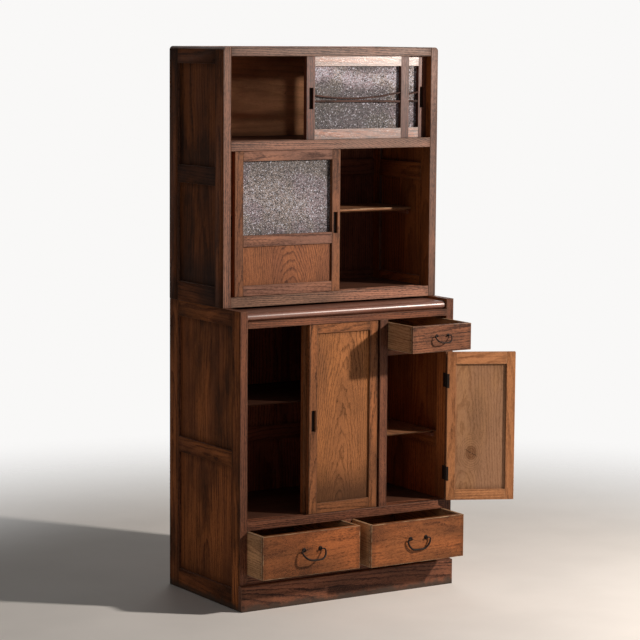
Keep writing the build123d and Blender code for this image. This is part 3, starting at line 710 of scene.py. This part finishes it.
def make_boards():
    """The boards of every wooden node, each with its finish and its slot."""
    for side in ("left", "right"):
        boards(f"lower_{side}_frame", "lower_frame", width=1.4 * MM, flank=True)
        boards(f"upper_{side}_frame", "upper_frame", width=1.4 * MM, flank=True)
    for part in ("lower", "upper"):
        boards(f"{part}_side_panels", "inner_side", flank=True)
        boards(f"{part}_back_rails", "inner")
        boards(f"{part}_back_panels", "inner")
    for node in (
        "plinth_board",
        "bottom_front_rail",
        "bay_sill_rail",
        "under_counter_rail",
        "divider_post",
        "top_drawer_rail",
        "drawer_post",
    ):
        boards(node, "lower_frame", width=1.2 * MM)
    boards("top_front_rail", "upper_frame", width=1.2 * MM)
    boards("upper_front_rail", "upper_rail", width=1.2 * MM)
    boards("middle_rail", "slanting_rail", width=1.2 * MM)
    for node in ("divider_board", "drawer_runners", "shelf_battens", "top_board"):
        boards(node, "inner")
    # the left bay's shelf takes the darker copy: painted shade
    boards("left_bay_shelf", "shelf_painted_shade", undercut=10 * MM)
    boards("right_bay_shelf", "shelf", undercut=10 * MM)
    for node in ("bay_floor", "middle_board", "upper_floor"):
        boards(node, "floor_board")
    boards("main_shelf", "shelf", undercut=6 * MM)
    boards("top_back_board", "back_board", upright_sheets=False)
    boards("counter_board", "counter")
    # the rail finishes paint the sheen that the lying rails' grain catches
    for pair, finish, sheets, rails in (
        ("top", "top_door", "bar", "top_door_rail"),
        ("main", "glazed_door", "main_panel", "glazed_rail_painted_sheen"),
        ("bay", "bay_door", "bay_panel", None),
    ):
        for side in ("left", "right"):
            boards(f"{pair}_{side}_door", finish, sheet_finish=sheets, rail_sheen_finish=rails)
    boards(
        "hinged_door",
        "hinged_frame",
        turned=to_closed,
        sheet_finish="hinged_panel",
        rail_sheen_finish="hinged_rail_painted_sheen",
    )
    for drawer in DRAWERS:
        finish = "small_front" if drawer == "small_drawer" else "drawer_front"
        boards(f"{drawer}_front", finish, width=1.2 * MM)
        boards(f"{drawer}_box", "drawer_box")


make_boards()


# ---------------------------------------------------------------- iron
IRON_PATCHES = (260, 260, 260)  # how often the patterns of the iron change, per metre
IRON_PITS = (1500, 1500, 1500)


def make_iron(name, black, brown, rough):
    """Black forged iron with brown patches and pits."""
    material, w, shader = new_material(name)
    place = w.node("ShaderNodeTexCoord").outputs["Object"]
    patches = w.noise(place, IRON_PATCHES, detail=4.0, roughness=0.6)
    pits = w.noise(place, IRON_PITS, detail=2.0)
    colour = w.mix(w.step(patches, 0.48, 0.68), shade(black), shade(brown))
    roughness = w.step(patches, 0.3, 0.7, rough, rough + 0.22)
    w.fill(shader, {"Base Color": colour, "Roughness": roughness})
    w.fill(shader, {"Metallic": 0.1, "Specular IOR Level": 0.14})
    add_relief(w, shader, w.total(patches, w.product(pits, 0.5)), 0.4, 0.3 * MM)
    return material


iron = make_iron("forged_iron", "18120f", "38241a", 0.45)
nail_iron = make_iron("nail_iron", "241a14", "4a3122", 0.55)


def circle(first, second, sides):
    """Points of a unit circle in the plane of two directions."""
    turns = [math.tau * k / sides for k in range(sides)]
    return [first * math.cos(turn) + second * math.sin(turn) for turn in turns]


def skin(bm, rings, closed=False):
    """Smooth faces from ring to ring of vertices; a line of rings that isn't closed gets flat ends."""
    pairs = list(zip(rings, rings[1:]))
    if closed:
        pairs.append((rings[-1], rings[0]))
    for ring, after in pairs:
        for k, vertex in enumerate(ring):
            n = (k + 1) % len(ring)
            bm.faces.new((vertex, ring[n], after[n], after[k])).smooth = True
    if not closed:
        bm.faces.new(rings[0][::-1])
        bm.faces.new(rings[-1])


def tube(bm, line, radii, sides, closed=False):
    """A round bar along a line of points, with a radius for each."""
    last = len(line) - 1
    normal = None
    rings = []
    for i, point in enumerate(line):
        if closed:
            direction = line[(i + 1) % len(line)] - line[i - 1]
        else:
            direction = line[min(i + 1, last)] - line[max(i - 1, 0)]
        direction.normalize()
        if normal is None:
            normal = direction.orthogonal().normalized()
        normal = (normal - direction * normal.dot(direction)).normalized()
        spokes = circle(normal, direction.cross(normal), sides)
        rings.append([bm.verts.new(point + spoke * radii[i]) for spoke in spokes])
    skin(bm, rings, closed)


def turned_piece(bm, place, outwards, profile, sides=28):
    """A turned solid on a face; its profile (radii and heights) goes from the rim to the tip."""
    first = outwards.orthogonal().normalized()
    spokes = circle(first, outwards.cross(first), sides)
    rings = []
    for radius, height in profile:
        rings.append([bm.verts.new(place + spoke * radius + outwards * height) for spoke in spokes])
    skin(bm, rings)


def rounded(corners, steps):
    """A smooth line from the first corner to the last that passes inside the others."""
    line = [corners[0]]
    for before, corner, after in zip(corners, corners[1:], corners[2:]):
        start = before if before is corners[0] else (before + corner) / 2
        end = after if after is corners[-1] else (corner + after) / 2
        for k in range(1, steps + 1):
            t = k / steps
            line.append(start * (1 - t) ** 2 + corner * 2 * t * (1 - t) + end * t * t)
    return line


# the drop handle of a wide drawer: corners of half its bail, right and up from the middle between its
# eyes, and radii and heights of a washer, all in millimetres
BAIL_HALF = ((25, 0), (36, 0.4), (45, -1), (43.5, -13), (38, -25), (24, -36.5), (8, -37.4))
BAIL_CORNERS = (*BAIL_HALF, *((-x, z) for x, z in reversed(BAIL_HALF)))
WASHER = (
    (7.5, 0), (7.5, 0.5), (7.1, 1.1), (5.6, 1.5), (4, 1.75), (2.9, 1.9), (2.5, 2.6), (2, 4.2),
    (1.7, 5.4),
)
BAIL_WIDTH = 90.3 * MM
BAIL_RADIUS = 2.1 * MM
BAIL_SWELL = 1.1 * MM
HAMMER_MARKS = 0.12 * MM
EYE_SPREAD = 31 * MM
EYE_REACH = 8 * MM
EYE_RADIUS = 3.3 * MM
EYE_BAR_RADIUS = 1.15 * MM


def make_handle(drawer):
    """Forged drop handle: two split eyes on domed washers, and a bail that thickens towards its middle."""
    joint = joints[f"{drawer}_bail_swing"]
    eye_middle = Vector(joint["pos_m"])
    lift = -math.radians(joint["range_deg"][0])
    low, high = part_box(f"{drawer}_bail")
    size = (high.x - low.x) / BAIL_WIDTH

    upwards = Vector((0, math.sin(lift), math.cos(lift)))
    corners = [eye_middle + (RIGHT * x + upwards * z) * size * MM for x, z in BAIL_CORNERS]
    line = rounded(corners, steps=6)
    radii = []
    for i, point in enumerate(line):
        share = i / (len(line) - 1)
        swell = min(max(5 * (min(share, 1 - share) - 0.08), 0.0), 1.0)
        hammer = noise.noise(point * 240) * HAMMER_MARKS
        radii.append((BAIL_RADIUS + BAIL_SWELL * swell + hammer) * size)
    bm = bmesh.new()
    tube(bm, line, radii, sides=14)
    finish_piece(bm, f"{drawer}_bail_iron", [iron], f"{drawer}_bail", [f"{drawer}_bail"])

    bm = bmesh.new()
    face_y = eye_middle.y + EYE_REACH * size
    for way in (-1, 1):
        eye = eye_middle + RIGHT * way * EYE_SPREAD * size
        seat = Vector((eye.x, face_y, eye.z))
        turned_piece(bm, seat, -BACK, [(r * size * MM, h * size * MM) for r, h in WASHER])
        ring = [eye + spoke * EYE_RADIUS * size for spoke in circle(BACK, UP, 24)]
        tube(bm, ring, [EYE_BAR_RADIUS * size] * len(ring), sides=12, closed=True)
    finish_piece(bm, f"{drawer}_posts_iron", [iron], drawer, [f"{drawer}_posts"])


for drawer in DRAWERS:
    make_handle(drawer)


# radii and heights of the pull, in millimetres
PULL_PROFILE = (
    (8, 0), (8, 0.4), (7.6, 0.9), (5.8, 1.3), (3.4, 1.7), (2.5, 2.6), (2.3, 4.6), (2.6, 6.8),
    (3.5, 8.4), (4.7, 9.4), (5.1, 10.6), (4.8, 11.9), (3.7, 12.8), (2, 13.2), (0.6, 13.2),
)


def make_door_pull():
    """Small turned pull on a domed plate, in the place of the model's plainer one."""
    low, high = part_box("door_pull")
    outwards = (to_open.to_3x3() @ -BACK).normalized()
    closed = [to_closed @ v.co for v in frame["nodes"]["door_pull"].data.vertices]
    middle = (min(p.x for p in closed) + max(p.x for p in closed)) / 2
    seat = Vector((middle, max(p.y for p in closed), (low.z + high.z) / 2))
    bm = bmesh.new()
    turned_piece(bm, to_open @ seat, outwards, [(r * MM, h * MM) for r, h in PULL_PROFILE])
    finish_piece(bm, "door_pull_iron", [iron], "hinged_door", ["door_pull"])


make_door_pull()


def make_hinges():
    """The model's butt hinges with their arrises eased."""
    for node in ("post_hinges", "door_hinges"):
        bm = merged_copy(node)
        ease_arrises(bm, 0.3 * MM)
        finish_piece(bm, f"{node}_iron", [iron], body_of_node[node], [node])


make_hinges()


# ---------------------------------------------------------------- nails and screws
HEAD_INPUTS = [
    ("Places", "Geometry"),
    ("Head", "Object"),
    ("Finish", "Material"),
    ("Size", "Float"),
    ("Seed", "Int"),
]


def make_heads_tree():
    """A geometry tree that puts a head on every point, facing out of its wood and spun by chance."""
    tree, w, source, sink = new_group("set_heads", HEAD_INPUTS, [("Heads", "Geometry")], "Geometry")
    facing = w.filled("GeometryNodeInputNamedAttribute", {"Name": "facing"}, data_type="FLOAT_VECTOR")
    outwards = facing.outputs["Attribute"]
    upright = w.filled("FunctionNodeAlignRotationToVector", {"Vector": outwards}, axis="Z")
    chance = w.filled("FunctionNodeRandomValue", {"Seed": source["Seed"]}, data_type="FLOAT")
    chance.inputs["Max"].default_value = math.tau
    spin = w.filled("FunctionNodeAxisAngleToRotation", {"Angle": chance.outputs[1]})
    turns = {"Rotation": upright.outputs[0], "Rotate By": spin.outputs[0]}
    turn = w.filled("FunctionNodeRotateRotation", turns, rotation_space="LOCAL")
    head = w.filled("GeometryNodeObjectInfo", {"Object": source["Head"]})
    points = w.filled("GeometryNodeMeshToPoints", {"Mesh": source["Places"]})
    placed = w.node("GeometryNodeInstanceOnPoints")
    w.fill(placed, {"Points": points.outputs[0], "Instance": head.outputs["Geometry"]})
    w.fill(placed, {"Rotation": turn.outputs[0], "Scale": source["Size"]})
    real = w.filled("GeometryNodeRealizeInstances", {0: placed.outputs[0]})
    coated = {"Geometry": real.outputs[0], "Material": source["Finish"]}
    w.feed(sink["Heads"], w.filled("GeometryNodeSetMaterial", coated).outputs[0])
    return tree


def nail_head():
    """A low domed head of unit radius, with few sides."""
    bm = bmesh.new()
    turned_piece(bm, Vector((0, 0, -0.2)), UP, ((1.0, 0), (0.97, 0.32), (0.7, 0.5), (0.25, 0.58)), sides=9)
    return mesh_object("nail_head", bm)


def screw_head():
    """A flat head of unit radius with a slot across it."""
    bm = bmesh.new()
    turned_piece(bm, Vector((0, 0, -0.3)), UP, ((1.0, 0), (1.0, 0.42), (0.9, 0.5), (0.86, 0.5)), sides=16)
    top = max(bm.faces, key=lambda face: face.calc_center_median().z)
    bmesh.ops.delete(bm, geom=[top], context="FACES_ONLY")
    rim = [v for v in bm.verts if v.co.z > 0.19 and v.co.xy.length < 0.88]
    slot_half, slot_depth = 0.14, 0.3
    sides = {}
    for way in (-1, 1):
        half_rim = [v for v in rim if v.co.y * way > 1e-4]
        ends = [Vector((x, way * slot_half, 0.2)) for x in (way * 0.84, -way * 0.84)]
        lips = [bm.verts.new(p) for p in ends]
        low = [bm.verts.new(p - UP * slot_depth) for p in ends]
        half_rim.sort(key=lambda v: -v.co.x * way)
        bm.faces.new([lips[0], *half_rim, lips[1]])
        bm.faces.new([lips[0], lips[1], low[1], low[0]])
        sides[way] = (lips, low)
    (lips_a, low_a), (lips_b, low_b) = sides[1], sides[-1]
    bm.faces.new([low_a[0], low_a[1], low_b[0], low_b[1]])
    for near, far in ((0, 1), (1, 0)):
        rim_end = min(rim, key=lambda v: (v.co - lips_a[near].co).length + (v.co - lips_b[far].co).length)
        bm.faces.new([lips_a[near], low_a[near], low_b[far], lips_b[far]])
        bm.faces.new([lips_a[near], lips_b[far], rim_end])
    bmesh.ops.recalc_face_normals(bm, faces=bm.faces)
    return mesh_object("screw_head", bm)


heads_tree = make_heads_tree()


def set_heads(name, body, head, finish, radius, places, seed):
    """Heads of one kind at places, each a point and the direction it faces, as one piece."""
    bm = bmesh.new()
    facing = bm.verts.layers.float_vector.new("facing")
    for point, direction in places:
        bm.verts.new(point)[facing] = direction
    seats = mesh_object(f"{name}_seats", bm)
    modifier = seats.modifiers.new("heads", "NODES")
    modifier.node_group = heads_tree
    values = {"Head": head, "Finish": finish, "Size": radius, "Seed": seed}
    for item in heads_tree.interface.items_tree:
        if item.item_type == "SOCKET" and item.in_out == "INPUT" and item.name in values:
            modifier[item.identifier] = values[item.name]
    depsgraph = bpy.context.evaluated_depsgraph_get()
    mesh = bpy.data.meshes.new_from_object(seats.evaluated_get(depsgraph))
    seats.modifiers.clear()
    bpy.data.objects.remove(seats)
    bm = bmesh.new()
    bm.from_mesh(mesh)
    bpy.data.meshes.remove(mesh)
    finish_piece(bm, name, [finish], body)


NAIL_RADIUS = 2.1 * MM
NAIL_INSET = 4.5 * MM  # from the ends of a drawer's side
LOWEST_NAIL = 0.12  # share of the side's height
NAIL_SPAN = 0.76
POST_SCREW_RADIUS = 2.6 * MM
DOOR_SCREW_RADIUS = 2.4 * MM
HINGE_HEIGHTS = (0.385, 0.702)
SCREW_SPREAD = 15 * MM  # up and down from the middle of a hinge
POST_SCREW_SEAT = (0.38793, 0.009)  # x and y with the door closed
DOOR_SCREW_SEAT = (0.3824, 0.0175)


def make_nails_and_screws():
    """Nails in the ends of the drawers' sides, and screws in the leaves of the hinges."""
    nail, screw = nail_head(), screw_head()
    for number, drawer in enumerate(DRAWERS):
        low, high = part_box(f"{drawer}_box")
        rows = 3 if drawer == "small_drawer" else 4
        places = []
        for k in range(rows):
            z = low.z + (high.z - low.z) * (LOWEST_NAIL + NAIL_SPAN * k / (rows - 1))
            for y in (low.y + NAIL_INSET, high.y - NAIL_INSET):
                jitter = Vector((0, rng.uniform(-1, 1) * 0.8 * MM, rng.uniform(-1, 1) * 2 * MM))
                places.append((Vector((low.x, y, z)) + jitter, -RIGHT))
                places.append((Vector((high.x, y, z)) + jitter, RIGHT))
        set_heads(f"{drawer}_nails", drawer, nail, nail_iron, NAIL_RADIUS, places, seed=number)
    post_places, door_places = [], []
    for middle in HINGE_HEIGHTS:
        for height in (middle - SCREW_SPREAD, middle + SCREW_SPREAD):
            post_places.append((Vector((*POST_SCREW_SEAT, height)), -RIGHT))
            seat = Vector((*DOOR_SCREW_SEAT, height))
            door_places.append((to_open @ seat, to_open.to_3x3() @ BACK))
    set_heads("post_hinge_screws", "carcass", screw, iron, POST_SCREW_RADIUS, post_places, seed=7)
    set_heads(
        "door_hinge_screws", "hinged_door", screw, iron, DOOR_SCREW_RADIUS, door_places, seed=8
    )
    for template in (nail, screw):
        bpy.data.objects.remove(template)


make_nails_and_screws()


# ---------------------------------------------------------------- glass
GRAINS = 360.0  # how often the patterns of the glass change, per metre
PAINTED_GLINTS = 350.0
PAINTED_GLINT_SHIFT = (3.1, 1.7, 0.9)  # takes the painted glints out of step with the grains
SUGAR = (480, 480, 480)
TINT_CHANGE = (11, 11, 11)
FACET = 6.5 * MM  # width of a facet of the pressed pattern
FACET_RELIEF = 0.9 * MM
PANE_STEP = 2.2 * MM  # between the points of a pane's face


def make_glass():
    """Obscure glass with a sugary pressed face: dull and bright grains, some painted as white glints."""
    material, w, shader = new_material("pattern_glass")
    place = w.node("ShaderNodeTexCoord").outputs["Object"]
    painted_light = w.attribute("painted_light", "Fac")
    grain, from_middle = w.grains(place, GRAINS)
    painted_glint, _ = w.grains(w.vector_math("ADD", place, PAINTED_GLINT_SHIFT), PAINTED_GLINTS)
    fine = w.noise(place, SUGAR, detail=3.0)
    grey = w.step(w.total(w.product(grain, 0.75), w.product(fine, 0.5)), 0.3, 0.9)
    tint = w.step(w.noise(place, TINT_CHANGE), 0.42, 0.58)
    colour = w.mix(grey, shade("161014"), w.mix(tint, shade("baa6ae"), shade("b8a8a2")))
    # painted light and shade: the pane's painted_light value brightens or darkens its colour
    colour = w.darken(colour, w.step(painted_light, 0.0, 0.9, 0.15, 1.65))
    # painted glints: bluish-white specks, more of them where the painted light is brighter
    limit = w.step(painted_light, 0.3, 1.0, 0.93, 0.6)
    colour = w.mix(w.step(w.less(painted_glint, limit), 0.0, 0.03), colour, shade("eef0ff"))
    w.fill(shader, {"Base Color": colour, "Roughness": w.step(grain, 0.0, 1.0, 0.45, 0.25)})
    w.fill(shader, {"Transmission Weight": 0.5, "Specular IOR Level": 0.2, "IOR": 1.5})
    add_relief(w, shader, w.total(w.product(from_middle, -1.2), fine), 0.9, 1.0 * MM)
    shadow = w.node("ShaderNodeLightPath").outputs["Is Shadow Ray"]
    w.feed(shader.inputs["Alpha"], w.step(shadow, 0.0, 1.0, 0.88, 0.42))
    return material


glass = make_glass()


def glass_pane(node, painted_light):
    """A pane with a pressed pattern of small uneven facets on its front.

    painted_light gives the painted light and shade at a place across and up the pane, each from 0 to 1.
    """
    low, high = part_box(node)
    columns = round((high.x - low.x) / PANE_STEP)
    rows = round((high.z - low.z) / PANE_STEP)
    bm = bmesh.new()
    painted_light_layer = bm.verts.layers.float.new("painted_light")
    grid = []
    for row in range(rows + 1):
        z = low.z + (high.z - low.z) * row / rows
        line = []
        for column in range(columns + 1):
            x = low.x + (high.x - low.x) * column / columns
            distances, points = noise.voronoi(Vector((x / FACET, 0.0, z / FACET)), exponent=2.5)
            tilt = noise.cell(points[0] * 7.3)
            bump = min(distances[1] - distances[0], 0.6) * (0.5 + tilt)
            vertex = bm.verts.new((x, low.y - FACET_RELIEF * bump, z))
            vertex[painted_light_layer] = painted_light(column / columns, row / rows)
            line.append(vertex)
        grid.append(line)
    for row in range(rows):
        for column in range(columns):
            a, b = grid[row][column], grid[row][column + 1]
            c, d = grid[row + 1][column + 1], grid[row + 1][column]
            bm.faces.new((a, b, c, d))
    rim = grid[0] + [line[-1] for line in grid[1:]]
    rim += grid[-1][-2::-1] + [line[0] for line in grid[-2:0:-1]]
    behind = [bm.verts.new((v.co.x, high.y, v.co.z)) for v in rim]
    for i, vertex in enumerate(rim):
        behind[i][painted_light_layer] = vertex[painted_light_layer]
        after = (i + 1) % len(rim)
        bm.faces.new((rim[after], vertex, behind[i], behind[after]))
    bm.faces.new(behind)
    bmesh.ops.recalc_face_normals(bm, faces=bm.faces)
    finish_piece(bm, f"{node}_pane", [glass], body_of_node[node], [node])


def smooth(value, low, high):
    """0 below low, 1 above high, and smooth between."""
    t = min(max((value - low) / (high - low), 0.0), 1.0)
    return t * t * (3 - 2 * t)


def top_painted_light(across, up):
    """Painted light: a bright band across the upper part, over duller glass that brightens towards its sides."""
    middle = 0.86 - 0.1 * smooth(across, 0.1, 0.9) + 0.03 * math.sin(9 * across)
    band = math.exp(-(((up - middle) / 0.12) ** 2))
    ends = smooth(across, 0.84, 1.0) + 0.5 * smooth(0.16 - across, 0.0, 0.16) * smooth(up, 0.5, 0.8)
    return min(0.2 + 0.62 * band + 0.4 * ends, 1.0)


def main_painted_light(across, up):
    """Painted light and shade: brightest across the middle, duller towards top and bottom, darker to the right."""
    middle = 0.45 + 0.05 * math.sin(7 * across)
    band = math.exp(-(((up - middle) / 0.36) ** 2))
    return 0.3 + 0.26 * band - 0.08 * smooth(across, 0.75, 1.0)


for pair, painted_light in (("top", top_painted_light), ("main", main_painted_light)):
    for side in ("left", "right"):
        glass_pane(f"{pair}_{side}_door_glass", painted_light)


# ---------------------------------------------------------------- camera, light and floor
CAMERA_PLACE = (-4.2814, -6.5862, 1.8703)
CAMERA_TURN = math.radians(32.31)  # to the right of straight at the front
CAMERA_DIP = math.radians(6.84)
CAMERA_ROLL = math.radians(0.41)
CAMERA_LENS = 135.53  # millimetres, for a sensor 36 wide


def make_camera():
    """A long lens to the left of the front, a little above the middle."""
    level = Vector((math.sin(CAMERA_TURN), math.cos(CAMERA_TURN), 0.0))
    forward = level * math.cos(CAMERA_DIP) - UP * math.sin(CAMERA_DIP)
    right = Vector((math.cos(CAMERA_TURN), -math.sin(CAMERA_TURN), 0.0))
    up = right.cross(forward)
    turned_right = right * math.cos(CAMERA_ROLL) + up * math.sin(CAMERA_ROLL)
    turned_up = up * math.cos(CAMERA_ROLL) - right * math.sin(CAMERA_ROLL)
    data = bpy.data.cameras.new("camera")
    data.sensor_width = 36.0
    data.lens = CAMERA_LENS
    camera = new_object("camera", data)
    matrix = Matrix((turned_right, turned_up, -forward)).transposed().to_4x4()
    matrix.translation = CAMERA_PLACE
    camera.matrix_world = matrix
    bpy.context.scene.camera = camera


def lamp(name, place, target, size, power, colour):
    """A square soft light at a place, aimed at a target."""
    data = bpy.data.lights.new(name, "AREA")
    data.size = size
    data.energy = power
    data.color = colour[:3]
    light = new_object(name, data)
    light.location = place
    light.rotation_euler = (Vector(target) - Vector(place)).to_track_quat("-Z", "Y").to_euler()


def make_background(colour, ambient, mirrored):
    """Plain pale surroundings for the camera and behind glass.

    They are dimmer where they are mirrored, and give a soft even light to the rest.
    """
    world = bpy.data.worlds.new("studio")
    bpy.context.scene.world = world
    world.use_nodes = True
    w = Wiring(world.node_tree)
    background = world.node_tree.nodes["Background"]
    path = w.node("ShaderNodeLightPath")
    seen = w.math("MAXIMUM", path.outputs["Is Camera Ray"], path.outputs["Is Transmission Ray"])
    seen = w.math("MAXIMUM", seen, w.product(path.outputs["Is Glossy Ray"], mirrored))
    w.fill(background, {"Color": colour, "Strength": w.step(seen, 0.0, 1.0, ambient, 1.0)})


def make_floor(colour):
    """A pale floor that keeps the shadow and fades into the background further off."""
    bm = bmesh.new()
    bmesh.ops.create_circle(bm, cap_ends=True, segments=96, radius=7.0)
    floor = mesh_object("floor", bm)
    material, w, shader = new_material("pale_floor")
    place = w.node("ShaderNodeTexCoord").outputs["Object"]
    cloudy = w.noise(place, (3, 3, 3), detail=4.0)
    colour = w.darken(colour[:3], w.step(cloudy, 0.3, 0.7, 0.95, 1.0))
    w.fill(shader, {"Base Color": colour, "Alpha": w.fade(w.length(place), 1.2, 3.4)})
    w.fill(shader, {"Roughness": 0.8, "Specular IOR Level": 0.2})
    floor.data.materials.append(material)


make_camera()
lamp("key", (2.14, -2.24, 2.13), (0.0, 0.1, 0.85), size=0.16, power=142.0, colour=shade("fff4ea"))
lamp("fill", (-4.2, -0.7, 1.0), (0.0, 0.1, 0.85), size=2.2, power=16.5, colour=shade("fbf4ea"))
lamp("rim", (1.6, 3.2, 2.4), (0.0, 0.3, 1.0), size=1.6, power=16.0, colour=shade("fdf6ee"))
make_background(shade("f9f8f7"), ambient=0.048, mirrored=0.6)
make_floor(shade("f1efec"))

bpy.context.scene.view_settings.view_transform = "Standard"
